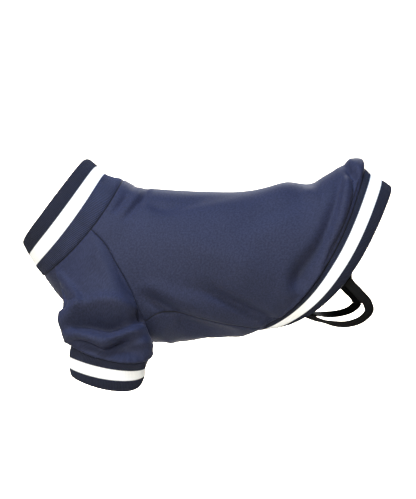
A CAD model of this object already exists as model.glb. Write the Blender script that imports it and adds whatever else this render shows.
"""The looks of a dog's varsity jacket in its worn, hollow form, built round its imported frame.

The frame is in metres: -X is towards the head, +X towards the tail, +Z up and -Y the dog's left side.
The jacket's form is worked out in millimetres, from the same rings and seams as its solids, and gets
its creases, rolled seam edges, ribs and gathers here.
"""

import bpy
import numpy as np
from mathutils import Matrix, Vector


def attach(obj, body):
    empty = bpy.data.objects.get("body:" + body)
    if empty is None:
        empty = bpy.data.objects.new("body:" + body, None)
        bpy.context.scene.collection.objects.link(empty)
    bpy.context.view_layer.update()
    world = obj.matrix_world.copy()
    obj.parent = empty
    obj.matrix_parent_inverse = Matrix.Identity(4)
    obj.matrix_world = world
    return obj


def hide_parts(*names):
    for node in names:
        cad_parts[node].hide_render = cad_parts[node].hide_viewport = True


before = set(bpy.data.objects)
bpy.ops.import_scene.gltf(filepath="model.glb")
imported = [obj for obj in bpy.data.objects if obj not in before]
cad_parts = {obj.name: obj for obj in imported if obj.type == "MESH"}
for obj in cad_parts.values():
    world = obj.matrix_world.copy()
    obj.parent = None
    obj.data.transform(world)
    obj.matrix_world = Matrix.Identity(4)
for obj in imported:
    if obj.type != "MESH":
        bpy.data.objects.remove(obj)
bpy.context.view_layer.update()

MM = 0.001
EYE_X = 2.85  # the camera's place, in millimetres
EYE_FAR = 1200.0
EYE_Z = -53.7

# ---- the jacket's form, as its solids have it
RING_COLUMNS = ("along", "top_x", "top_z", "low_x", "low_z", "half_width", "bow", "skew")
BODY_RINGS = (
    (0, -77, 12.4, -152.5, -79, 43, 9, 0),
    (16, -69, 8.8, -135, -102, 47, 6, -2),
    (38, -61, 5.5, -100, -129, 51, 0, -8),
    (63, -51, 3.9, -45, -143, 55, -5, -16),
    (90, -24, 2.3, -24, -141.5, 57, -3, -8),
    (121, 14, 1.6, -4, -140.2, 58, 0, 0),
    (149, 45, 3, 12, -139.3, 58, 4, 4),
    (173, 75, 8.6, 24, -138.5, 57, 9, 6),
    (192, 98.8, 9.2, 31, -137.3, 56, 13, 7),
    (208, 119, 20, 36, -136, 55, 17, 8),
    (222, 138, 33, 39.5, -134.5, 54, 20, 8),
    (230, 149.5, 32, 42, -132.8, 53.5, 21, 8),
    (236, 151, 24, 43, -130.5, 50, 20, 8),
)
GIRTH_ALONG = 63  # the ring just behind the sleeves, where the side seam starts
HEM_ALONG = 236
BODY_SQUARE = 2.15  # superellipse exponent of a ring: 2 is an ellipse
MM_PER_DEGREE = 1.15  # round the body

# Seams on the body, as places along it and degrees round it from the back line
BACK_RAGLAN = ((0, 86), (14, 86), (30, 89), (44, 96), (54, 107), (60, 121), (63, 131))
FRONT_RAGLAN = ((0, 136), (16, 138), (34, 146), (48, 154), (58, 156), (62, 146), (63, 131))
SIDE_SEAM = ((63, 131), (70, 125), (90, 125), (116, 131), (133, 135), (156, 139), (181, 142), (236, 147))

# A trim's rings are along its height.
COLLAR_RINGS = (
    BODY_RINGS[0],
    (17, -95, 18.1, -160, -70, 41, 5.5, 0),
    (29, -102.6, 25.7, -166.3, -59.5, 40, 3.5, 0),
    (42, -111.2, 34.2, -173.9, -47.5, 39, 1.5, 0),
)
HEM_RINGS = (
    (0, *BODY_RINGS[-1][1:]),
    (10, 157.7, 17.1, 51, -130.5, 51.5, 17.5, 8.5),
    (21, 168.2, 11.4, 60, -129.3, 52, 18.5, 9),
    (32, 177.5, 5.7, 68, -127, 51.5, 18, 10),
)
CUFF_COLUMNS = ("height", "x", "y", "z", "half_length", "half_width", "tilt_deg", "sag")
CUFF_RINGS = (
    (0, -86.5, -43.5, -145.5, 36.5, 25.5, -6.5, 9),
    (11, -89.3, -43, -156.5, 35.3, 24.5, -8, 4),
    (21, -89.5, -42.5, -165, 34.8, 24, -5, 5.5),
    (31, -90, -42, -174, 34.3, 23.5, -5.3, 7),
)
CUFF_SAG_AT = -20  # degrees round the cuff, a little to the rear of the side that faces out
RIGHT_CUFF_FORWARD = 7  # the right sleeve hangs this much further to the head than the left one
SLEEVE_COLUMNS = ("place", "cuff_deg", "hug", "lift", "flare_deg", "start", "end")
SLEEVE_PLAN = (
    (0, 40, 0.5, 0.3, 45, 0.4, 0.32),
    (0.5, 84, 0, 0.95, 55, 0.58, 0.52),
    (1, 143, 0, 0.6, 30, 0.35, 0.35),
    (1.5, 203, 0, 0.2, 15, 0.35, 0.35),
    (2, 262, 0, 0.1, 20, 0.35, 0.35),
    (2.5, 298, 0.7, 0.1, 30, 0.35, 0.3),
    (3, 335, 1, 0.1, 35, 0.35, 0.3),
    (3.5, 367, 1, 0.2, 40, 0.35, 0.3),
    (4, 400, 0.5, 0.3, 45, 0.4, 0.32),
)
STRAP_PATH = (  # x, y, z and the right strap's rise
    (140, -49, -93, 0),
    (148, -49.5, -102.5, 1),
    (150, -49, -109, 2),
    (144, -48, -117, 4),
    (132, -46, -122, 5),
    (116, -41.5, -122, 4),
    (103, -33.5, -118.6, 2),
)
STRAP_TOP_DEGREES = (88.0, 96.0)
STRAP_LOW_DEGREES = (138.0, 139.0)
STRAP_UNDER = 12.0  # length of each end, sewn inside the band
STRAP_GAP = 1.9
RIB = 2.8
ELASTIC = 1.4
ELASTIC_WIDTH = 9.0
STRAP_POINTS = (150, 33)  # along and across it

# ---- creases, each a lean and points on its line
# A point is a place on the piece, the crease's half width and its depth there in millimetres, which is
# negative on a ridge. A lean makes one side of the crease wider than the other.
# On the left side and the left sleeve a place is in millimetres to the right of and above the camera's
# axis, as seen at the jacket's middle.
LEFT_CREASES = (
    # the long fold over the flank and the one under it, down to the side seam
    (-0.3, ((-38, -29.9, 8, 0), (-20.9, -35.6, 8, 1.4), (-6.6, -39.4, 7, 3.2), (5.7, -43.7, 6, 6),
        (18.1, -49.9, 5.5, 7.8), (30.4, -56.5, 5.2, 8.2), (41.8, -62.2, 5.2, 8.4), (53.2, -67, 5, 6.6),
        (62.7, -70.8, 4.5, 3.8), (71.2, -73.6, 4, 0))),
    (0, ((-62.7, -29.9, 7, 0), (-53.2, -34.7, 7, -1.3), (-41.8, -40.4, 7, -2.2), (-26.6, -48, 7, -2.4),
        (-9.5, -55.6, 7, -2.2), (7.6, -63.2, 6, -1.8), (25.6, -69.8, 6, 0))),
    (-0.2, ((-66.5, -39.4, 5, 0), (-58.9, -45.1, 5.5, 3), (-50.3, -50.8, 5.5, 6), (-40.9, -56, 5.5, 6.4),
        (-31.3, -60.3, 5, 4), (-21.8, -65.1, 4.5, 2.6), (-8.5, -69.8, 4.5, 2), (6.4, -73.6, 4.5, 2.2),
        (26.6, -76.5, 4, 0))),
    # the belly, under its seam
    (0, ((-55.1, -79.3, 7, 0), (-47.5, -78.4, 7, -1.4), (-38, -77.4, 6, 0))),
    (0, ((-31.3, -66, 4, 0), (-24.7, -70.3, 5, 5), (-14.2, -74.6, 5.5, 7.4), (-3.8, -77.9, 5.5, 6.8),
        (7.6, -79.8, 5, 4.6), (20.9, -80.8, 5, 3.2), (33.2, -80.3, 4, 0))),
    # the rump: a trough that ends in a hollow, a ridge, and a trough beside the hem
    (0, ((129.2, 85, 4, 0), (127.3, 74.6, 4.5, 3), (124.4, 62.2, 4.5, 4.2), (121.6, 47, 5, 4.8),
        (117.3, 31.8, 5.5, 5.2), (112.1, 16.6, 6, 5.6), (106.4, 3.3, 6.5, 6), (98.8, -8.1, 7.5, 6.6),
        (92.1, -16.6, 8, 7.6), (87.4, -25.2, 8.5, 8.4), (84.5, -33.7, 7.5, 5.4), (82.6, -42.3, 5, 0))),
    (0, ((134.9, 75.5, 5, 0), (133, 65.1, 5, -1.8), (129.7, 50.8, 5.5, -2.2), (126.3, 33.7, 6, -2.2),
        (121.1, 16.6, 6.5, -2), (114, -0.5, 6.5, -1.6), (105.4, -17.6, 7, 0))),
    (0, ((126.4, 84.1, 4, 0), (132, 78.8, 4.2, 8), (137.4, 73.6, 4.4, 9.6), (142, 64.1, 4.6, 9),
        (143, 51.8, 4.6, 8.4), (140, 38.5, 4.6, 7.6), (135, 25.2, 4.6, 7.4), (128.6, 11.9, 4.8, 8),
        (122.2, -0.5, 5.4, 9), (117.6, -10, 4.8, 5.4), (111.1, -20.4, 4, 1), (104.5, -30.9, 4, 0))),
    # the back: a dented trough behind the shoulder, a shaded hollow before the rump
    (0, ((-66.5, 49.9, 4, 0), (-57, 45.1, 5, 1.4), (-47.5, 41.3, 5.5, 3), (-38, 40.4, 5.5, 3.4),
        (-25.6, 42.8, 5.5, 2.6), (-11.4, 46.1, 5, 1.8), (4.8, 48.9, 5, 1.2), (20.9, 51.3, 4.5, 0.8),
        (34.2, 53.7, 4, 0))),
    (0, ((19, 18.5, 10, 0), (38, 28, 11, 1.8), (57, 36.6, 11.5, 2.6), (74.1, 43.2, 10.5, 2.2),
        (87.4, 48, 8, 1), (95, 50.8, 6, 0))),
    (0, ((89.3, 58.4, 5, 0), (97.8, 53.7, 5.5, -2.2), (106.4, 48, 5, 0))),
    # creases from the neck
    (0, ((-55.1, 58.4, 3, 0), (-59.4, 52.7, 3.2, 2.4), (-65.5, 45.1, 3.2, 2.6), (-73.1, 36.1, 3.2, 2),
        (-81.7, 26.1, 3, 0))),
    (0, ((-75, 54.6, 3, 0), (-79.3, 48, 3, 2.2), (-84.5, 41.3, 3, 2.2), (-91.2, 33.7, 3, 0))),
    (0, ((-63.6, 57.5, 3.5, 0), (-70.3, 48, 4, -1.2), (-77.9, 38.5, 4, -1.2), (-87.4, 29, 3.5, 0))),
    # the soft swell of the flank
    (0, ((-47.5, 12.8, 12, 0), (-17.1, 3.3, 15, -1.6), (19, -8.1, 17, -2.4), (47.5, -21.4, 15, -1.8),
        (64.6, -32.8, 12, 0))),
)
LEFT_SLEEVE_CREASES = (
    # the shaded strip in front of the shoulder, and its lit edge
    (0, ((-167.2, -15.7, 6, 0), (-162.4, -24.2, 7, 6), (-155.8, -33.7, 8, 9), (-148.2, -42.3, 8, 10),
        (-141.5, -48.9, 6.5, 9), (-139.7, -53.7, 4.5, 5), (-142.5, -57.5, 4, 0))),
    (0.25, ((-145.3, -17.6, 4, 0), (-140.1, -24.2, 4, -1.8), (-133, -32.8, 4.5, -2.8),
        (-125.9, -41.3, 4.5, -3.8), (-122.1, -48, 5, -5.2), (-125.4, -54.6, 5.5, -6.2),
        (-133, -61.3, 6, -4.8), (-138.7, -67.9, 6, -3.4), (-139.7, -75.5, 5, -2.4), (-138.7, -83.1, 5, 0))),
    # the main fold, the swell above it and the ridge under it
    (-0.4, ((-140.6, -78.4, 4, 0), (-134.9, -75, 5, 5), (-128.2, -72.7, 6.5, 11), (-117.8, -71.2, 8.5, 16),
        (-107.3, -72.7, 9.2, 18), (-96.9, -74.4, 9.5, 18.5), (-88.3, -73.2, 9.2, 17.5),
        (-78.8, -71, 8.5, 15), (-70.3, -68.9, 7.5, 12), (-62.7, -67, 6, 7), (-55.1, -66, 5, 0))),
    (0, ((-127.3, -59.4, 5, 0), (-120.6, -54.6, 5, -2.2), (-111.1, -49.9, 5.5, -3.4),
        (-98.8, -47.5, 6, -4.2), (-86.5, -48.9, 6, -3.8), (-75, -54.1, 5.5, -2.8), (-66.5, -61.3, 4.5, 0))),
    (0, ((-138.7, -84.1, 5, 0), (-129.2, -83.1, 6, -1.4), (-117.8, -83.6, 7, -1.8),
        (-104.5, -86.9, 7.5, -1.8), (-93.1, -87.9, 7.5, -1.4), (-82.6, -84.5, 7, -1.4),
        (-74.1, -80.3, 6.5, -1.4), (-66.5, -76.5, 5, 0))),
    # the folds over the cuff
    (-0.2, ((-133.9, -86.9, 3.8, 0), (-128.2, -88.8, 4.2, 6.2), (-120.6, -91.2, 4.6, 9.6),
        (-112.1, -94.1, 4.6, 10), (-104.9, -97, 4.2, 8), (-99.8, -99.8, 3.8, 4), (-95, -102.6, 3.5, 0))),
    (0.3, ((-55.5, -78.5, 5, 0), (-60.5, -82, 6, 3), (-66, -85.5, 7, 7.5), (-72.2, -88.8, 7.5, 12),
        (-81.7, -93.1, 7, 13.5), (-90.2, -97.8, 6.2, 12.5), (-96.9, -102.6, 5, 8.5),
        (-102.6, -106.9, 4, 0))),
    (0, ((-98.8, -106.9, 6, 0), (-89.3, -105, 7.5, 8), (-77.9, -101.6, 8.5, 11.5), (-67.5, -98, 8, 9.5),
        (-60, -93.5, 7, 3.5), (-56, -89, 6, 0))),
    (0, ((-125.4, -95.5, 3, 0), (-118.8, -97.8, 3.5, -1.8), (-112.1, -100.2, 3.6, -2.2),
        (-105.4, -102.1, 3.2, -1.2), (-101.6, -103.1, 3, 0))),
    # soft unevenness of the upper sleeve
    (0, ((-98.8, 10.9, 6, 0), (-102.6, -2.4, 8, -0.9), (-104.5, -17.6, 8, 0))),
    (0, ((-117.8, -17.6, 6, 0), (-106.4, -23.3, 8, 0.9), (-93.1, -27.1, 7, 0))),
)
LEFT_SLEEVE_INNER_CREASES = (
    (0, ((2.1, 0.4, 6, 0), (1.75, 0.5, 7, 2.4), (1.35, 0.52, 6, 1.6), (1.05, 0.5, 5, 0))),
    (0, ((2.3, 0.84, 5, 0), (1.95, 0.82, 6, 2.6), (1.55, 0.8, 6, 2.2), (1.2, 0.8, 5, 0))),
    (0, ((0.95, 0.4, 6, 0), (0.7, 0.52, 7, 2), (0.48, 0.62, 6, 0))),
)
# Elsewhere on the body a place is along it and in degrees round it, negative on the dog's right side.
BODY_CREASES = (
    # right side
    (-0.25, ((56, -106, 5, 0), (64, -111, 6, 2.4), (86, -120, 7, 3.2), (112, -130, 8, 3.4),
        (146, -137, 7, 2.2), (172, -141, 5, 0))),
    (-0.2, ((96, -94, 7, 0), (112, -100, 8, 1.6), (136, -108, 9, 2.8), (168, -119, 8, 2.2),
        (198, -130, 6, 0))),
    (0, ((140, -84, 7, 0), (160, -92, 8, 1.5), (186, -103, 8, 1.6), (208, -116, 6, 0))),
    (-0.1, ((211, -8, 5, 0), (212, -22, 7, 3.6), (213, -46, 7, 4.8), (210, -66, 7, 4), (204, -80, 8, 4),
        (192, -90, 8, 2.8), (180, -96, 7, 0))),
    (0, ((220, -28, 4, 0), (225, -40, 4, 1.5), (231, -60, 4, 1.3), (228, -88, 4, 0))),
    (0, ((60, -44, 8, 0), (84, -44, 11, -1.4), (112, -36, 11, -1.3), (138, -24, 9, 0))),
    (0, ((4, -62, 3.5, 0), (16, -54, 4, 1), (34, -38, 4, 0.8), (50, -26, 4, 0))),
    (0, ((12, -76, 4, 0), (28, -66, 5, 0.9), (46, -44, 5, 0))),
    # across the top of the back, in front of the rump and behind the neck
    (0, ((182, -34, 5, 0), (191, -16, 6, 1), (194, 2, 6, 1.2), (192, 18, 6, 0.9), (186, 32, 5, 0))),
    (0, ((160, -40, 9, 0), (172, -18, 11, -1.3), (177, 0, 11, -1.8), (173, 20, 11, -1.4), (162, 40, 9, 0))),
    (0, ((204, -24, 4, 0), (209, -6, 5, 1.4), (208, 8, 5, 0))),
    (0, ((22, -30, 6, 0), (27, -10, 7, 0.8), (26, 12, 7, 0.9), (20, 28, 6, 0))),
    # belly panel: between the forelegs and lengthwise behind them
    (0, ((60, 150, 6, 0), (66, 166, 7, 1.6), (67, 184, 7, 1.9), (63, 206, 6, 0))),
    (0, ((30, 160, 6, 0), (38, 172, 7, 1.2), (39, 190, 7, 1), (32, 202, 6, 0))),
    (0, ((78, 168, 7, 0), (110, 172, 9, 1.5), (150, 178, 8, 1.2), (190, 176, 6, 0))),
    (0, ((96, 196, 7, 0), (126, 200, 8, 1.1), (160, 196, 6, 0))),
    (0, ((8, 150, 5, 0), (20, 158, 6, 0.8), (36, 158, 5, 0))),
)

# On the right sleeve a place is 0 at the front of the neck, 2 at the side seam and 3 at the back of the
# neck, and the other number is the share of the way down to the cuff.
RIGHT_SLEEVE_CREASES = (
    (0, ((0.46, 0.28, 5, 0), (0.3, 0.34, 6, 2.6), (0.12, 0.38, 7, 4.2), (-0.06, 0.41, 6, 2.6),
        (-0.26, 0.45, 5, 0))),
    (0.3, ((4.04, 0.55, 6, 0), (3.88, 0.57, 8, 2.6), (3.66, 0.57, 9, 4.8), (3.4, 0.585, 10, 5.8),
        (3.14, 0.6, 9, 5), (2.88, 0.6, 8, 3.4), (2.62, 0.57, 7, 0))),
    (0, ((4.1, 0.68, 6, 0), (3.8, 0.69, 8, -2.2), (3.44, 0.71, 9, -3), (3.08, 0.72, 8, -2.4),
        (2.74, 0.68, 6, 0))),
    (0, ((5, 0.85, 5, 0), (4.6, 0.86, 5, 3.6), (4.25, 0.87, 5, 4.8), (3.98, 0.87, 5, 3.6),
        (3.72, 0.86, 5, 0))),
    (0.2, ((2.4, 0.7, 5, 0), (2.62, 0.75, 6, 2.6), (2.92, 0.82, 6, 3.8), (3.22, 0.87, 5, 3),
        (3.5, 0.9, 4, 0))),
    (0, ((3.4, 0.14, 6, 0), (3.24, 0.26, 7, -0.9), (3.1, 0.38, 7, 0))),
    (0, ((2, 0.44, 6, 0), (1.65, 0.53, 7, 2.2), (1.25, 0.54, 6, 0))),
    (0, ((2.2, 0.86, 5, 0), (1.8, 0.83, 6, 2.4), (1.4, 0.8, 5, 0))),
    (0, ((1, 0.44, 6, 0), (0.74, 0.55, 7, 1.8), (0.52, 0.64, 6, 0))),
)
MM_PER_PLACE = 55.0
SLEEVE_LENGTH = 80.0  # of the creases' shares of the way
SLEEVE_GRID = (200, 84, 78.0)  # columns, even rows and the length they fill

# ---- cloth, in millimetres
CLOTH = 1.3
SEAM_CLEAR = 0.1
ROLL_DEPTH = 0.8  # how far a panel's edge turns in to its seam
TRIM_ROLL = 0.7  # how far a trim's does
ROLL_WIDTH = 1.2
SHADE_WIDTH = 0.9  # of the dark line at a panel's seam
TRIM_SHADE_WIDTH = 0.8
ALLOWANCE = 6.0  # width of the seam allowances on the inside
ALLOWANCE_THICK = 0.6
ALLOWANCE_SHOWS = 0.16  # how much they lift the outside
CALM_EDGE = 12.0  # the cloth's unevenness dies out over this width beside a seam
SMOOTH_EDGE = 2.5  # and its puckers over this one
SEAM_PUCKERS = (0.10, 5.0)  # height and reach of the puckers beside a seam
HEM_PUCKERS = (0.30, 9.0)
NECK_PUCKERS = (0.16, 7.0)
CUFF_GATHERS = (0.35, 8.0)
BLOUSE = 2.4  # how far a sleeve stands out over its cuff
BLOUSE_REACH = 4.5  # where it does so most, from the seam
SLEEVE_SOFT = 7.0  # how many columns a sleeve's smooth form is softened over
UV_MM = 100.0  # one unit of the cloth's coordinates
CROWD = (0.0, 0.35, 0.8, 1.4, 2.2, 3.3, 4.8)  # a panel's first points from a seam
FINE = 240  # points along a seam, to find its length
RING_FINE = 1441  # and round a ring
SHARP_DEGREES = 70
SMALL_STEP = 0.5  # millimetres or degrees, to find a surface's directions
TRIM_STEP = 0.6

# rib trims, and stripes as heights on them
POINTS_PER_RIB = 6
RIB_PITCH = 1.45
RIB_DEPTH = 0.17
TRIM_CROWD = (0.0, 0.35, 0.8, 1.5, 2.5)  # a trim's first rows from its seam
TRIM_ROWS = (4.0, 11)  # where its even rows start, and how many there are
FOLD_ROWS = 8
LIP_ROWS = (4.0, 2.0, 0.25)  # a trim's own allowance, as places under the cloth it is sewn to
LIP_OUTER = RIB - 0.2  # how deep its two sides lie there
LIP_INNER = RIB + 0.25
CURL_REACH = (9.0, 2.0)  # a trim's free edge curls in from this far before it to this far past it
TRIM_ALLOWANCE_SHOWS = 0.42
COLLAR_STRIPE = (17.0, 29.0)
HEM_STRIPE = (8.5, 19.5)
CUFF_STRIPE = (11.0, 21.0)
# how the trims sway in and out: size, turns round the ring and shift
COLLAR_WAVES = ((0.30, 2, 0.6), (0.22, 5, 1.9), (0.12, 9, 0.3))
HEM_WAVES = ((0.45, 3, 0.4), (0.30, 7, 2.2), (0.18, 12, 1.1))
CUFF_WAVES = ((0.25, 2, 1.0), (0.20, 4, 2.5))
# hollows along their free edges: degrees, half width in degrees and depth
COLLAR_DROPS = ((0, 13, 3.2), (180, 14, 1.6))
HEM_DROPS = ((0, 10, 1.8), (180, 10, 1.4))
CUFF_DROPS = ((92, 20, 2.6), (268, 22, 3.0))
COLLAR_TAILS = (86, 136, 224, 274)  # degrees of the raglan seams under the collar's allowance
CORD_PITCH = 1.1  # of the elastic
CORD_HEIGHT = 0.09


def bell(distance, width):
    return np.exp(-((distance / width) ** 2))


def smooth_step(value, low, high):
    t = np.clip((value - low) / (high - low), 0, 1)
    return t * t * (3 - 2 * t)


def signed_power(value, power):
    return np.sign(value) * np.abs(value) ** power


def wrapped(off, length):
    """A distance round a closed line that is so long, by the shorter way."""
    return (off + length / 2) % length - length / 2


def unit(vectors):
    return vectors / np.maximum(np.linalg.norm(vectors, axis=-1, keepdims=True), 1e-9)


def vector(*parts):
    return np.stack(np.broadcast_arrays(*parts), axis=-1).astype(float)


def spline(knots, values, at):
    """Values at places among the knots, on a smooth curve through them all."""
    knots = np.asarray(knots, float)
    values = np.asarray(values, float)
    at = np.asarray(at, float)
    slopes = np.gradient(values, knots, axis=0)
    i = np.clip(np.searchsorted(knots, at) - 1, 0, len(knots) - 2)
    span = (knots[i + 1] - knots[i])[..., None]
    t = (at - knots[i])[..., None] / span
    return (
        values[i] * (2 * t**3 - 3 * t**2 + 1)
        + slopes[i] * span * (t**3 - 2 * t**2 + t)
        + values[i + 1] * (3 * t**2 - 2 * t**3)
        + slopes[i + 1] * span * (t**3 - t**2)
    )


def sizes_at(table, columns, at):
    """The named sizes at places down a table, whose first column says where each row is."""
    table = np.asarray(table, float)
    found = spline(table[:, 0], table[:, 1:], at)
    return {name: found[..., k] for k, name in enumerate(columns[1:])}


def run_along(points):
    """The length along a line of points, from its first to each."""
    return np.concatenate([[0], np.cumsum(np.linalg.norm(np.diff(points, axis=0), axis=1))])


# ---- the form
def slanted_ring_point(ring, degrees):
    """Points of a body, collar or hem ring: 0 degrees on the back line, 90 on the dog's left side."""
    c = np.cos(np.radians(degrees))
    s = np.sin(np.radians(degrees))
    half_x = (ring["top_x"] - ring["low_x"]) / 2
    half_z = (ring["top_z"] - ring["low_z"]) / 2
    length = np.hypot(half_x, half_z)
    up = signed_power(c, 2 / BODY_SQUARE)
    shift = s * s * (ring["bow"] - ring["skew"] * c)
    return vector(
        ring["low_x"] + half_x * (1 + up) + half_z / length * shift,
        -ring["half_width"] * signed_power(s, 2 / BODY_SQUARE),
        ring["low_z"] + half_z * (1 + up) - half_x / length * shift,
    )


def ring_surface(rings):
    return lambda along, degrees: slanted_ring_point(sizes_at(rings, RING_COLUMNS, along), degrees)


smooth_body_point = ring_surface(BODY_RINGS)
collar_point = ring_surface(COLLAR_RINGS)
hem_point = ring_surface(HEM_RINGS)


def cuff_point(height, degrees, forward):
    """Points of the left cuff, moved forward: 0 degrees faces out, 90 faces the head."""
    ring = sizes_at(CUFF_RINGS, CUFF_COLUMNS, height)
    across = -ring["half_length"] * np.sin(np.radians(degrees))
    tilt = np.radians(ring["tilt_deg"])
    sagging = np.clip(np.cos(np.radians(degrees - CUFF_SAG_AT)), 0, 1) ** 1.5
    return vector(
        ring["x"] - forward + across * np.cos(tilt),
        ring["y"] - ring["half_width"] * np.cos(np.radians(degrees)),
        ring["z"] + across * np.sin(tilt) - ring["sag"] * sagging,
    )


def surface_normal(point_at, along, degrees):
    """The direction out of a surface of rings that run from head to tail."""
    forward = point_at(along + SMALL_STEP, degrees) - point_at(along - SMALL_STEP, degrees)
    around = point_at(along, degrees + SMALL_STEP) - point_at(along, degrees - SMALL_STEP)
    return unit(np.cross(around, forward))


def crease_depth(creases, places, scales=(1.0, 1.0), rounds=(0.0, 0.0)):
    """How deep the creases are at places on a surface.

    A place has two coordinates, whose scales turn them into millimetres. One that goes round has the
    length of its round, and the others have 0.
    """
    places = np.broadcast_arrays(*places)
    total = np.zeros(places[0].shape)
    for lean, line in creases:
        line = np.asarray(line, float)
        fine = spline(np.arange(len(line)), line, np.linspace(0, len(line) - 1, 4 * len(line)))
        nearest = np.full(total.shape, np.inf)
        depth = np.zeros(total.shape)
        for here, ahead in zip(fine[:-1], fine[1:]):
            off_1, off_2 = (
                (wrapped(place - start, length) if length else place - start) * scale
                for place, start, scale, length in zip(places, here, scales, rounds)
            )
            run_1, run_2 = (ahead[:2] - here[:2]) * scales
            share = np.clip((off_1 * run_1 + off_2 * run_2) / (run_1**2 + run_2**2), 0, 1)
            gap = np.hypot(off_1 - share * run_1, off_2 - share * run_2)
            side = np.sign(off_1 * run_2 - off_2 * run_1)
            half_width = (here[2] + share * (ahead[2] - here[2])) * (1 + lean * side)
            new = (here[3] + share * (ahead[3] - here[3])) * bell(gap, half_width)
            depth = np.where(gap < nearest, new, depth)
            nearest = np.minimum(gap, nearest)
        total += depth
    return total


def left_crease_depth(creases, points, normal):
    """The creases of the left side as the camera sees them, which die out where the cloth turns away."""
    scale = 1 + points[..., 1] / EYE_FAR
    seen = (points[..., 0] - EYE_X) / scale, (points[..., 2] - EYE_Z) / scale
    return crease_depth(creases, seen) * (1 - smooth_step(normal[..., 1], 0.05, 0.6))


def body_crease_depth(along, degrees, points, normal):
    """The creases of the body, which die out at the neck and at the hem."""
    depth = crease_depth(BODY_CREASES, (along, degrees), (1.0, MM_PER_DEGREE), (0.0, 360.0))
    depth = depth + left_crease_depth(LEFT_CREASES, points, normal)
    return depth * smooth_step(along, 0, 8) * smooth_step(HEM_ALONG - along, 0, 5.5)


def smooth_body(along, degrees):
    """The smooth body's points and its normals there."""
    return smooth_body_point(along, degrees), surface_normal(smooth_body_point, along, degrees)


def body_point(along, degrees):
    points, normal = smooth_body(along, degrees)
    return points - normal * body_crease_depth(along, degrees, points, normal)[..., None]


def unevenness(u, v):
    """Small soft hollows and swells, in millimetres, at places in millimetres."""
    return (
        0.22 * np.sin(u / 17 + 1.3 * np.sin(v / 31))
        + 0.16 * np.sin(v / 12.3 + u / 26 + 2)
        + 0.10 * np.sin(u / 7.1 - v / 19 + 1)
    )


def puckers(distance, along_seam, height, reach):
    """Small gathers beside a seam."""
    wave = np.sin(along_seam / 1.45 + 1.8 * np.sin(along_seam / 7.3) + 0.7 * np.sin(along_seam / 3.1))
    swell = 0.55 + 0.45 * np.sin(along_seam / 11.0 + 1.2)
    return height * wave * swell * bell(distance, reach)


def seam_places(seam, shares):
    """Places (along, degrees) on a seam, at shares of its length."""
    fine = spline(np.arange(len(seam)), seam, np.linspace(0, len(seam) - 1, FINE))
    run = run_along(smooth_body_point(fine[:, 0], fine[:, 1]))
    return vector(*(np.interp(shares, run / run[-1], fine[:, k]) for k in (0, 1)))


def armhole_place(place):
    """Places (along, degrees) round the left armhole: down its front, up its back and along the neck."""
    place = np.asarray(place, float) % 4
    front = seam_places(FRONT_RAGLAN, np.clip(place / 2, 0, 1))
    back = seam_places(BACK_RAGLAN, np.clip(3 - place, 0, 1))
    neck_degrees = np.interp(place, (3, 4), (BACK_RAGLAN[0][1], FRONT_RAGLAN[0][1]))
    neck = vector(0, neck_degrees)
    return np.where(place[..., None] <= 2, front, np.where(place[..., None] <= 3, back, neck))


# ---- meshes
def crowded(count, width):
    """Shares from 0 to 1, closer together at both ends of a piece that is so wide."""
    start = np.asarray(CROWD) / width
    middle = np.linspace(start[-1], 1 - start[-1], count)
    return np.concatenate([start[:-1], middle, 1 - start[:-1][::-1]])


def run_lengths(points, axis):
    """Lengths along the lines of a grid, from its first point to each."""
    steps = np.linalg.norm(np.diff(points, axis=axis), axis=-1)
    pad = [(0, 0), (0, 0)]
    pad[axis] = (1, 0)
    return np.pad(np.cumsum(steps, axis=axis), pad)


def tube_normals(points):
    """Normals of a grid that is closed round, which point out of it."""
    around = np.roll(points, -1, axis=1) - np.roll(points, 1, axis=1)
    normal = unit(np.cross(around, np.gradient(points, axis=0)))
    middle = points.mean(axis=1, keepdims=True)
    return normal if np.sum(normal * (points - middle)) > 0 else -normal


def blurred_round(values, sigma):
    """Each row of a closed grid made smooth round it by its own sigma, in columns, without shrinking it."""
    count = values.shape[1]
    waves = np.fft.rfftfreq(count)[None, :]
    soft = np.exp(-2 * (np.pi * waves * np.asarray(sigma)[:, None]) ** 2)
    keep = (2 * soft - soft**2)[..., None]
    return np.fft.irfft(np.fft.rfft(values, axis=1) * keep, n=count, axis=1)


def clear_seams(grid, sides):
    """Moves a grid's first and last rows, and its sides where they are sewn too, off their seams."""
    for lines in (grid.swapaxes(0, 1), grid) if sides else (grid,):
        for edge, beside in ((0, 1), (-1, -2)):
            lines[edge] += unit(lines[beside] - lines[edge]) * SEAM_CLEAR


def outer_direction(outer, inner, mirror, index):
    """The way out of the wall at a vertex of the profile."""
    row, column = divmod(int(index), outer.shape[1])
    row = min(row, len(outer) - 1)
    way = outer[row, column] - inner[row, column]
    return way * (1, -1, 1) if mirror else way


def add_object(name, data):
    made = bpy.data.objects.new(name, data)
    bpy.context.scene.collection.objects.link(made)
    return made


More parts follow.
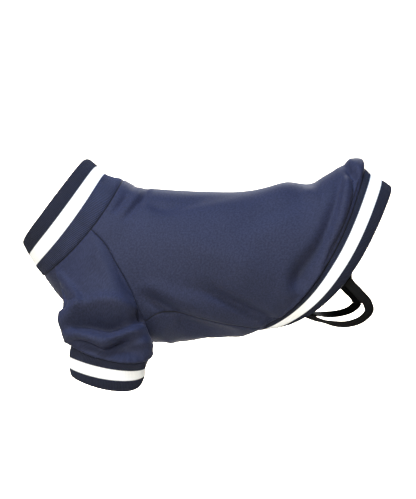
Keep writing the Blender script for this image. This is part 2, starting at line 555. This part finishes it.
def add_piece(name, outer, inner, uv, closed, material, seam_near, mirror=False, inner_uv=None):
    """One piece of cloth between an outer and an inner grid of points, in millimetres.

    uv has the cloth's own coordinates for each outer point, with one column more where it is closed.
    seam_near is near 1 beside a seam. The grid's first and last rows are its free or sewn edges.
    """
    rows, columns = outer.shape[:2]
    total = 2 * rows
    profile = np.concatenate([outer, inner[::-1]], axis=0)
    if mirror:
        profile = profile * (1, -1, 1)
    i, j = np.indices((total, columns if closed else columns - 1)).reshape(2, -1)
    near = np.stack([i, i + 1, i + 1, i], axis=1)
    over = np.stack([j, j, j + 1, j + 1], axis=1)
    faces = (near % total) * columns + over % columns
    inner_uv = uv if inner_uv is None else inner_uv
    across = np.concatenate([uv, inner_uv[::-1], uv[:1]], axis=0)
    loops = across[near, over]
    ends = i == total - 1
    loops[ends] = across[0][over[ends]]
    if not closed:  # the two sides are closed too
        k = np.arange(rows - 1)
        for column, flip in ((0, False), (columns - 1, True)):
            side = np.stack([k, total - 1 - k, total - 2 - k, k + 1], axis=1)
            side = side[:, ::-1] if flip else side
            faces = np.concatenate([faces, side * columns + column])
            loops = np.concatenate([loops, across[side, column]])
    points = profile.reshape(-1, 3)
    sample = faces[len(faces) // 4]
    a, b, c, d = points[sample]
    if np.dot(np.cross(c - a, d - b), outer_direction(outer, inner, mirror, sample[0])) < 0:
        faces = faces[:, ::-1]
        loops = loops[:, ::-1]
    mesh = bpy.data.meshes.new(name)
    mesh.from_pydata((points * MM).tolist(), [], faces.tolist())
    layer = mesh.uv_layers.new(name="cloth")
    layer.data.foreach_set("uv", (loops / UV_MM).reshape(-1).astype(np.float32))
    near_seam = mesh.attributes.new("seam", "FLOAT", "POINT")
    shade = np.concatenate([seam_near, seam_near[::-1]])
    near_seam.data.foreach_set("value", shade.reshape(-1).astype(np.float32))
    mesh.polygons.foreach_set("use_smooth", np.ones(len(faces), bool))
    mesh.set_sharp_from_angle(angle=np.radians(SHARP_DEGREES))
    mesh.materials.append(material)
    mesh.update()
    piece = add_object(name, mesh)
    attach(piece, "root")
    return piece


# ---- materials
class Shader:
    """Builds the node tree of a material or a world."""

    def __init__(self, name, kind=bpy.data.materials, last="Principled BSDF"):
        self.made = kind.new(name)
        self.made.use_nodes = True
        self.tree = self.made.node_tree
        self.surface = self.tree.nodes[last]

    def put(self, value, socket):
        if isinstance(value, bpy.types.NodeSocket):
            self.tree.links.new(value, socket)
        else:
            socket.default_value = value

    def node(self, kind, inputs=(), output=0, **settings):
        made = self.tree.nodes.new(kind)
        for key, value in settings.items():
            setattr(made, key, value)
        for key, value in dict(inputs).items():
            self.put(value, made.inputs[key])
        return made.outputs[output]

    def maths(self, operation, first, second=0.0, third=0.0):
        return self.node("ShaderNodeMath", {0: first, 1: second, 2: third}, operation=operation)

    def times(self, first, second, plus=0.0):
        return self.maths("MULTIPLY_ADD", first, second, plus)

    def mix(self, share, first, second, kind="MIX"):
        inputs = {0: share, 6: first, 7: second}
        return self.node("ShaderNodeMix", inputs, 2, data_type="RGBA", blend_type=kind)

    def noise(self, at, scale, detail=2.0, roughness=0.5):
        inputs = {"Vector": at, "Scale": scale, "Detail": detail, "Roughness": roughness}
        return self.node("ShaderNodeTexNoise", inputs)

    def between(self, value, low, high):
        """A smooth step of a value."""
        inputs = {"Value": value, "From Min": low, "From Max": high}
        return self.node("ShaderNodeMapRange", inputs, interpolation_type="SMOOTHSTEP")

    def cloth_place(self):
        """The cloth's own coordinates in millimetres: the vector, then across and down it."""
        uv = self.node("ShaderNodeUVMap", uv_map="cloth")
        vector_mm = self.node("ShaderNodeVectorMath", {0: uv, 3: UV_MM}, operation="SCALE")
        across, down = (self.node("ShaderNodeSeparateXYZ", {0: vector_mm}, k) for k in (0, 1))
        return vector_mm, across, down

    def wave(self, value, pitch, shift=0.0):
        """From 0 to 1 and back over each pitch."""
        turned = self.times(value, 2 * np.pi / pitch, shift)
        return self.times(self.maths("SINE", turned), 0.5, 0.5)

    def seam_shade(self, colour, dark):
        """A colour that goes dark beside the seams."""
        seam = self.node("ShaderNodeAttribute", attribute_name="seam", output=2)
        return self.mix(self.between(seam, 0.35, 1.0), colour, dark)

    def finish(self, colour, height, bump, rough, specular, sheen=(0.0, 0.5, (1, 1, 1, 1))):
        """The material: bump is strength and metres, rough what varies it with its least and most, and
        sheen weight, roughness and tint."""
        bump = {"Strength": bump[0], "Distance": bump[1], "Height": height}
        rough = {"Value": rough[0], "To Min": rough[1], "To Max": rough[2]}
        look = {
            "Base Color": colour,
            "Normal": self.node("ShaderNodeBump", bump),
            "Roughness": self.node("ShaderNodeMapRange", rough),
            "Specular IOR Level": specular,
            "Sheen Weight": sheen[0],
            "Sheen Roughness": sheen[1],
            "Sheen Tint": sheen[2],
        }
        for key, value in look.items():
            self.put(value, self.surface.inputs[key])
        return self.made


def jersey():
    """Navy double-knit jersey: fine wales, a soft nap, faint unevenness in its dye."""
    s = Shader("navy_double_knit")
    place, across, down = s.cloth_place()
    broad = s.noise(place, 0.035, 3.0)
    fine = s.noise(place, 1.7, 3.0, 0.65)
    fuzz = s.noise(place, 6.0, 2.0, 0.7)
    speck = s.between(s.noise(place, 0.62, 2.0, 0.6), 0.34, 0.66)
    colour = s.mix(s.between(broad, 0.3, 0.7), (0.014, 0.0175, 0.044, 1), (0.017, 0.021, 0.052, 1))
    colour = s.mix(s.between(fine, 0.35, 0.75), colour, (0.023, 0.028, 0.066, 1))
    colour = s.mix(1.0, colour, s.mix(speck, (0.8, 0.8, 0.82, 1), (1.20, 1.20, 1.18, 1)), "MULTIPLY")
    colour = s.seam_shade(colour, (0.006, 0.007, 0.014, 1))
    wales = s.wave(across, 0.95)
    courses = s.wave(s.times(across, 0.25, down), 0.8)
    knit = s.times(wales, s.times(courses, 0.4, 0.6))
    height = s.times(fuzz, 0.55, s.times(knit, 0.45))
    height = s.times(fine, 0.6, height)
    sheen = (0.08, 0.45, (0.42, 0.48, 0.8, 1))
    return s.finish(colour, height, (0.55, 0.00012), (fine, 0.66, 0.82), 0.28, sheen)


def rib_knit(name, stripe, sewn_side, free_side):
    """Navy rib knit with its white stripe knitted in; a side is how light its navy is."""
    s = Shader(name)
    place, across, down = s.cloth_place()
    yarn = s.noise(place, 1.3, 3.0, 0.6)
    broad = s.noise(place, 0.05, 2.0)
    fuzz = s.noise(place, 5.0, 2.0, 0.7)
    groove = s.wave(across, RIB_PITCH, -np.pi / 2)
    stitches = s.wave(down, 0.9)
    navy = s.mix(s.between(yarn, 0.3, 0.75), (0.015, 0.019, 0.045, 1), (0.025, 0.031, 0.068, 1))
    light = s.mix(s.between(down, *stripe), (*[sewn_side] * 3, 1), (*[free_side] * 3, 1))
    navy = s.mix(1.0, navy, light, "MULTIPLY")
    worn = s.times(s.between(broad, 0.35, 0.7), 0.35)
    navy = s.mix(worn, navy, (0.011, 0.013, 0.027, 1))
    white = s.mix(s.between(yarn, 0.3, 0.75), (0.92, 0.93, 0.95, 1), (0.97, 0.975, 0.98, 1))
    depth = s.between(groove, 0.0, 0.5)
    navy = s.mix(depth, (0.005, 0.006, 0.013, 1), navy)
    white = s.mix(depth, (0.84, 0.86, 0.91, 1), white)
    wavering = s.times(stitches, 0.16, s.times(groove, 0.22, down))
    starts, ends = (s.between(wavering, at, at + 0.5) for at in stripe)
    inside = s.times(starts, s.maths("SUBTRACT", 1.0, ends))
    colour = s.seam_shade(s.mix(inside, navy, white), (0.005, 0.006, 0.012, 1))
    height = s.times(fuzz, 0.5, s.times(stitches, 0.45))
    height = s.times(yarn, 0.5, height)
    sheen = (0.06, 0.5, (0.5, 0.55, 0.8, 1))
    return s.finish(colour, height, (0.6, 0.00015), (yarn, 0.72, 0.88), 0.25, sheen)


def elastic():
    """Black knitted elastic, ribbed along its length."""
    s = Shader("black_ribbed_elastic")
    place, across, down = s.cloth_place()
    yarn = s.noise(place, 1.8, 3.0, 0.6)
    colour = s.mix(s.between(yarn, 0.3, 0.75), (0.0012, 0.0012, 0.0014, 1), (0.0035, 0.0035, 0.004, 1))
    cords = s.wave(across, CORD_PITCH)
    picks = s.wave(s.times(across, 0.3, down), 0.8)
    height = s.times(picks, 0.35, s.times(cords, 0.65))
    return s.finish(colour, height, (0.7, 0.0002), (yarn, 0.6, 0.78), 0.12)


# ---- panels
def seam_shape(distance):
    """A panel's edge turned in to its seam, and its allowance showing through."""
    lift = ALLOWANCE_SHOWS * (1 - smooth_step(distance, ALLOWANCE - 0.8, ALLOWANCE + 0.8))
    return ROLL_DEPTH * bell(distance, ROLL_WIDTH) - lift


def inner_shape(distance):
    """How much deeper a panel's inner side is beside a seam, where the allowances lie on it."""
    covered = 1 - smooth_step(distance, ALLOWANCE - 0.5, ALLOWANCE + 0.5)
    return ALLOWANCE_THICK * covered * smooth_step(distance, 0.0, 1.5)


def body_cloth(name, base, normal, depth, edge, place_mm, gathered, uv, closed, material, mirror=False):
    """A piece on its smooth surface, creased so deep: its edges turned in, and uneven and gathered too."""
    depth = depth + unevenness(*place_mm) * smooth_step(edge, 0, CALM_EDGE)
    depth = depth + gathered * smooth_step(edge, 0, SMOOTH_EDGE) + seam_shape(edge)
    outer = base - normal * depth[..., None]
    inner = base - normal * (depth + CLOTH + inner_shape(edge))[..., None]
    shade = bell(edge, SHADE_WIDTH)
    return add_piece(name, outer, inner, uv, closed, material, shade, mirror)


def panel(name, places, turn, columns, width, material):
    """A body panel between the left edge and its mirror image, through the back line or the belly."""
    share = crowded(columns, width)
    degrees = places[:, 1:] * (1 - share) + (turn - places[:, 1:]) * share
    along = places[:, :1] + 0 * share
    base, normal = smooth_body(along, degrees)
    across = run_lengths(base, 1)
    down = run_lengths(base, 0)
    from_hem = down[-1:] - down
    from_sides = np.minimum(across, across[:, -1:] - across)
    edge = np.minimum(from_sides, np.minimum(down, from_hem))
    clear_seams(base, sides=True)
    round_mm = degrees * MM_PER_DEGREE
    gathered = (
        puckers(from_hem, round_mm, *HEM_PUCKERS)
        + puckers(down, round_mm, *NECK_PUCKERS)
        + puckers(from_sides, along, *SEAM_PUCKERS)
    )
    depth = body_crease_depth(along, degrees, base, normal)
    uv = vector(across - across[:, -1:] / 2, along)
    return body_cloth(name, base, normal, depth, edge, (along, round_mm), gathered, uv, False, material)


def side_places(seam, count, length):
    """Places from the neck to the hem: down a raglan seam that is so long, then down the side seam."""
    ends = len(CROWD) - 1
    share = crowded(count, length)[:-ends]
    raglan = seam_places(seam, share / share[-1])[:-1]
    share = crowded(112, HEM_ALONG - GIRTH_ALONG)[ends:]
    share = (share - share[0]) / (1 - share[0])
    along = GIRTH_ALONG + (HEM_ALONG - GIRTH_ALONG) * share
    side = np.asarray(SIDE_SEAM, float)
    degrees = spline(side[:, 0], side[:, 1:], along)[..., 0]
    return np.concatenate([raglan, vector(along, degrees)])


def smooth_sleeve_grid(place, down, forward):
    """The left sleeve's smooth surface, from its armhole, where down is 0, to its cuff."""
    at = armhole_place(place)
    start = body_point(at[:, 0], at[:, 1])[None]
    normal = surface_normal(body_point, at[:, 0], at[:, 1])[None]
    plan = sizes_at(SLEEVE_PLAN, SLEEVE_COLUMNS, place % 4)
    plan = {key: size[None, :, None] for key, size in plan.items()}
    end = cuff_point(0.0, plan["cuff_deg"][..., 0], forward)
    seam, below = (vector(*ring[1:4]) for ring in CUFF_RINGS[:2])
    up = unit(seam - below)
    radial = unit(np.cross(up, np.cross(end - (seam - (forward, 0, 0)), up)))
    flare = np.radians(plan["flare_deg"])
    span = np.linalg.norm(end - start, axis=-1, keepdims=True)
    ahead = (end - start) / span
    pressed = normal * np.sum(ahead * normal, axis=-1, keepdims=True) * plan["hug"]
    leave = start + span * plan["start"] * unit(ahead - pressed + normal * plan["lift"])
    meet = end + span * plan["end"] * (up * np.cos(flare) + radial * np.sin(flare))
    t = down[:, None, None]
    grid = (1 - t) ** 3 * start + 3 * (1 - t) ** 2 * t * leave + 3 * (1 - t) * t**2 * meet + t**3 * end
    return grid, normal[0]


def sleeve(name, creases, seen_creases, forward, mirror, material):
    """A sleeve: smooth rows between the armhole and the cuff, softened round it, then creased."""
    place = np.linspace(0, 4, SLEEVE_GRID[0], endpoint=False)
    down = crowded(*SLEEVE_GRID[1:])
    base, body_normal = smooth_sleeve_grid(place, down, forward)
    softness = smooth_step(down, 0.02, 0.45) * SLEEVE_SOFT * smooth_step(1 - down, 0.0, 0.2)
    base = blurred_round(base, softness)
    normal = unit(blurred_round(tube_normals(base), np.full(len(down), 3.0)))
    run = run_lengths(base, 0)
    from_cuff = run[-1:] - run
    edge = np.minimum(run, from_cuff)
    share = bell(run, 2.5)[..., None]
    normal = unit(normal * (1 - share) + body_normal[None] * share)
    clear_seams(base, sides=False)
    depth = crease_depth(creases, (place[None], down[:, None]), (MM_PER_PLACE, SLEEVE_LENGTH), (4.0, 0.0))
    depth = depth + left_crease_depth(seen_creases, base, normal)
    depth = depth * (smooth_step(down, 0.0, 0.12) * smooth_step(1 - down, 0.0, 0.07))[:, None]
    round_mm = place[None] * MM_PER_PLACE + 0 * down[:, None]
    turn = 2 * np.pi * place[None] / 4
    gathers = np.sin(31 * turn + 1.7 * np.sin(5 * turn)) * (0.6 + 0.4 * np.sin(3 * turn + 1))
    gathers = CUFF_GATHERS[0] * gathers * bell(from_cuff, CUFF_GATHERS[1])
    gathers = gathers + puckers(run, round_mm, *SEAM_PUCKERS)
    depth = depth - BLOUSE * from_cuff / BLOUSE_REACH * np.exp(1 - from_cuff / BLOUSE_REACH)
    closed = np.concatenate([base, base[:, :1]], axis=1)
    uv = vector(run_lengths(closed, 1), np.concatenate([run, run[:, :1]], axis=1))
    place_mm = (round_mm, run + 40)
    return body_cloth(name, base, normal, depth, edge, place_mm, gathers, uv, True, material, mirror)


# ---- rib trims and straps
def trim(
    name, point_at, top, outward, material, waves, under, drops, curl,
    tails=(), allowance_at=None, mirror=False,
):
    """A doubled rib trim, folded at its free edge: ribs run from its seam over the fold to its inside.

    under gives points and normals of what it is sewn to, so far in from the seam, for its allowance.
    outward is -1 where its rings run to the head. tails has the degrees where a seam below it shows
    through its allowance, which ends at allowance_at.
    """
    radius = RIB / 2
    fine = np.linspace(0, 360, RING_FINE)
    run = run_along(point_at(top / 2, fine))
    length = run[-1]
    ribs = int(round(length / RIB_PITCH))
    phase = np.arange(ribs * POINTS_PER_RIB) / POINTS_PER_RIB
    degrees = np.interp(phase / ribs * length, run, fine)
    heights = np.concatenate([TRIM_CROWD, np.linspace(TRIM_ROWS[0], top - radius, TRIM_ROWS[1])])
    turn = np.linspace(0, np.pi / 2, FOLD_ROWS)[1:-1]
    height = np.concatenate([heights, top - radius + radius * np.sin(turn)])[:, None]
    facing_out = np.concatenate([0 * heights + 1, np.cos(turn)])[:, None]
    facing_end = np.concatenate([0 * heights, np.sin(turn)])[:, None]
    curled = curl * smooth_step(height, top - CURL_REACH[0], top + CURL_REACH[1])
    out_depth = radius - radius * facing_out + curled
    in_depth = radius + radius * facing_out + curled
    drop = sum(depth * bell(wrapped(degrees - middle, 360), width) for middle, width, depth in drops)
    fine_height = height - drop * (height / top) ** 2
    base = point_at(fine_height, degrees[None])
    ahead = unit(point_at(fine_height + TRIM_STEP, degrees) - point_at(fine_height - TRIM_STEP, degrees))
    around = unit(point_at(fine_height, degrees + TRIM_STEP) - point_at(fine_height, degrees - TRIM_STEP))
    normal = unit(np.cross(around, ahead)) * outward
    rib = RIB_DEPTH * (1 - 2 * np.abs(np.cos(np.pi * phase)) ** 3)
    shown_rib = rib * facing_out * smooth_step(height, 0.0, 1.6)
    wavy = sum(size * np.sin(turns * np.radians(degrees) + shift) for size, turns, shift in waves)
    sway = wavy * (height / top)
    ridge = 0.0
    if allowance_at:
        ridge = 1 - smooth_step(height, allowance_at - 0.9, allowance_at + 0.9)
        ridge = TRIM_ALLOWANCE_SHOWS * ridge * smooth_step(height, 0.0, 3.5)
        for middle in tails:
            ridge = ridge * (1 - 1.2 * bell(wrapped(degrees - middle, 360) * length / 360, 1.0))
    roll = TRIM_ROLL * bell(height, ROLL_WIDTH)
    end_push = ahead * (rib * facing_end)[..., None]
    outer = base - normal * (out_depth + roll - ridge - sway - shown_rib)[..., None] + end_push
    inner = base - normal * (in_depth - sway + shown_rib)[..., None] + end_push
    tucked = np.array(LIP_ROWS)[:, None]
    lip, lip_normal = under(tucked, degrees)
    outer = np.concatenate([lip - lip_normal * LIP_OUTER, outer])
    inner = np.concatenate([lip - lip_normal * LIP_INNER, inner])
    down = np.concatenate([-tucked, height])
    across = np.concatenate([phase * length / ribs, [length]])
    uv = vector(across, down)
    inner_uv = vector(across, 2 * top - down)
    near = bell(down, TRIM_SHADE_WIDTH) + 0 * degrees
    return add_piece(name, outer, inner, uv, True, material, near, mirror, inner_uv)


def under_body(seam, way):
    """The smooth body beside a trim's seam, so far in from it."""
    return lambda tucked, degrees: smooth_body(seam + way * tucked + 0 * degrees, degrees)


def cuff(name, forward, mirror, material):
    """A cuff, whose allowance stands straight up inside its sleeve."""

    def ring(height, degrees):
        return cuff_point(height, degrees, forward)

    def under(tucked, degrees):
        height = -tucked + 0 * degrees
        points = ring(height, degrees)
        ahead = ring(height + TRIM_STEP, degrees) - points
        around = ring(height, degrees + TRIM_STEP) - points
        return points, unit(np.cross(around, ahead))

    return trim(name, ring, 31.0, 1.0, material, CUFF_WAVES, under, CUFF_DROPS, 1.6, mirror=mirror)


def strap_end(degrees):
    """The middle line of a strap's end inside the hem band, up to the band's edge, and its normals."""
    heights = HEM_RINGS[-1][0] - np.linspace(STRAP_UNDER, 0, 3)
    round_hem = np.linspace(*degrees, 3)
    normal = surface_normal(hem_point, heights - 1, round_hem)
    return hem_point(heights, round_hem) - normal * (RIB + STRAP_GAP), normal


def strap(name, rise_share, mirror, material):
    """A leg strap: flat elastic with round selvedges, whose ends lie inside the hem band."""
    top, top_normal = strap_end(STRAP_TOP_DEGREES)
    low, low_normal = strap_end(STRAP_LOW_DEGREES)
    free = np.asarray(STRAP_PATH, float)
    middle = free[:, :3] + np.outer(free[:, 3] * rise_share, (0, 0, 1))
    line = np.concatenate([top, middle, low[::-1]])
    knots = run_along(line)
    run = np.linspace(0, knots[-1], STRAP_POINTS[0])
    points = spline(knots, line, run)
    ahead = unit(spline(knots, line, run + SMALL_STEP) - spline(knots, line, run - SMALL_STEP))
    share = np.linspace(0, 1, len(middle) + 2)[1:-1, None]
    turning = top_normal[-1] * (1 - share) + low_normal[-1] * share
    face = spline(knots, np.concatenate([top_normal, turning, low_normal[::-1]]), run)
    face = unit(face - ahead * np.sum(face * ahead, axis=1, keepdims=True))[:, None]
    places = np.linspace(-1, 1, STRAP_POINTS[1])
    across = places * ELASTIC_WIDTH / 2
    thick = ELASTIC / 2 * (1 - np.abs(places) ** 8) ** 0.5
    cords = CORD_HEIGHT * np.cos(2 * np.pi * across / CORD_PITCH)
    half = np.maximum(thick + cords * (1 - np.abs(places) ** 6), 0.05)[:, None]
    flat = points[:, None] - face * ELASTIC / 2 + np.cross(ahead[:, None], face) * across[:, None]
    uv = vector(across, run[:, None])
    near = np.zeros(uv.shape[:2])
    return add_piece(
        name, flat + face * half, flat - face * half, uv, False, material, near, mirror
    )


# ---- the jacket
cloth = jersey()
cuff_rib = rib_knit("navy_rib_cuff", CUFF_STRIPE, 0.85, 0.62)
black = elastic()

back = panel("back_cloth", side_places(BACK_RAGLAN, 48, 76.0), 0, 128, 290.0, cloth)
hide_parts("back_panel")

belly = panel("belly_cloth", side_places(FRONT_RAGLAN, 60, 100.0), 360, 46, 95.0, cloth)
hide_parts("belly_panel")

left_sleeve = sleeve("sleeve_left_cloth", LEFT_SLEEVE_INNER_CREASES, LEFT_SLEEVE_CREASES, 0.0, False, cloth)
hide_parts("sleeve_left")

right_sleeve = sleeve("sleeve_right_cloth", RIGHT_SLEEVE_CREASES, (), RIGHT_CUFF_FORWARD, True, cloth)
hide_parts("sleeve_right")

collar = trim(
    "collar_rib", collar_point, 42.0, -1.0, rib_knit("navy_rib_collar", COLLAR_STRIPE, 1.5, 0.62),
    COLLAR_WAVES, under_body(0.0, 1.0), COLLAR_DROPS, 0.9, COLLAR_TAILS, 6.8,
)
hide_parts("collar")

hem = trim(
    "hem_rib", hem_point, 32.0, 1.0, rib_knit("navy_rib_hem", HEM_STRIPE, 0.7, 0.5),
    HEM_WAVES, under_body(HEM_ALONG, -1.0), HEM_DROPS, 0.6,
)
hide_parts("hem_band")

left_cuff = cuff("cuff_left_rib", 0.0, False, cuff_rib)
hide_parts("cuff_left")

right_cuff = cuff("cuff_right_rib", RIGHT_CUFF_FORWARD, True, cuff_rib)
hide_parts("cuff_right")

left_strap = strap("leg_strap_left_elastic", 0.0, False, black)
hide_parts("leg_strap_left")
right_strap = strap("leg_strap_right_elastic", 1.0, True, black)
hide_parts("leg_strap_right")

# ---- floor, light and camera, in metres
EYE = (EYE_X * MM, -EYE_FAR * MM, EYE_Z * MM)
LENS = 91.13
SENSOR = 36.0
FLOOR = -0.6
JACKET_MIDDLE = (0.0, 0.0, -0.05)


def add_stage():
    """A pale floor that curves up into the wall behind."""
    near, far, wide, bend, steps, high = -6.0, 3.4, 9.0, 1.0, 14, 5.0
    angles = np.linspace(0, np.pi / 2, steps)
    profile = [(near, FLOOR)]
    profile += [(far - bend + bend * np.sin(a), FLOOR + bend - bend * np.cos(a)) for a in angles]
    profile += [(far, FLOOR + high)]
    points = [(x, y, z) for x in (-wide, wide) for y, z in profile]
    count = len(profile)
    faces = [(i, i + count, i + count + 1, i + 1) for i in range(count - 1)]
    mesh = bpy.data.meshes.new("studio_floor")
    mesh.from_pydata(points, [], faces)
    mesh.polygons.foreach_set("use_smooth", np.ones(len(faces), bool))
    s = Shader("pale_floor")
    grain = s.noise(s.node("ShaderNodeTexCoord", output=3), 3.0)
    s.put(s.mix(grain, (0.62, 0.58, 0.50, 1), (0.66, 0.62, 0.54, 1)), s.surface.inputs["Base Color"])
    s.put(0.9, s.surface.inputs["Roughness"])
    s.put(0.1, s.surface.inputs["Specular IOR Level"])
    mesh.materials.append(s.made)
    add_object("studio_floor", mesh)


def add_light(name, azimuth, elevation, far, size, power, colour, spread=180.0):
    """A soft light that faces the jacket: azimuth 0 is the camera's side, 90 the tail's."""
    a = np.radians(azimuth)
    e = np.radians(elevation)
    way = np.array((np.cos(e) * np.sin(a), -np.cos(e) * np.cos(a), np.sin(e)))
    data = bpy.data.lights.new(name, "AREA")
    data.shape = "RECTANGLE"
    data.size, data.size_y = size
    data.energy = power
    data.color = colour
    data.spread = np.radians(spread)
    light = add_object(name, data)
    light.location = np.array(JACKET_MIDDLE) + far * way
    light.visible_camera = False
    light.rotation_mode = "QUATERNION"
    light.rotation_quaternion = Vector(-way).to_track_quat("-Z", "Y")
    return light


def add_world():
    """A faint warm light all round, and a pale horizon."""
    s = Shader("studio", bpy.data.worlds, "Background")
    bpy.context.scene.world = s.made
    way = s.node("ShaderNodeTexCoord")
    rise = s.between(s.node("ShaderNodeSeparateXYZ", {0: way}, 2), 0.10, 0.50)
    s.put(s.mix(rise, (0.30, 0.28, 0.25, 1), (0.04, 0.036, 0.03, 1)), s.surface.inputs["Color"])


def add_camera():
    data = bpy.data.cameras.new("camera")
    data.sensor_fit = "AUTO"
    data.sensor_width = SENSOR
    data.lens = LENS
    data.clip_start = 0.05
    data.clip_end = 20.0
    camera = add_object("camera", data)
    camera.location = EYE
    camera.rotation_euler = (np.pi / 2, 0, 0)
    bpy.context.scene.camera = camera


add_stage()
add_world()
add_light("top", -14, 64, 1.8, (0.5, 0.5), 27, (0.44, 0.61, 1.0))
add_light("left", -65, 50, 1.8, (0.6, 0.6), 11, (1.0, 0.98, 0.94))
add_light("front", -12, 17, 1.8, (0.5, 0.5), 27, (1.0, 0.97, 0.84))
add_light("rear", 165, 35, 2.0, (0.9, 0.9), 34, (0.97, 0.98, 1.0))
backdrop = add_light("backdrop", 0, 0, 1.0, (3.0, 0.6), 320, (1.0, 1.0, 1.0), 95.0)
backdrop.location = (0, 1.9, 2.0)
backdrop.rotation_quaternion = Vector((0, 0.7, -2.4)).to_track_quat("-Z", "Y")
add_camera()

view = bpy.context.scene.view_settings
view.view_transform = "Standard"
view.look = "None"
view.exposure = 0.0
view.gamma = 1.0
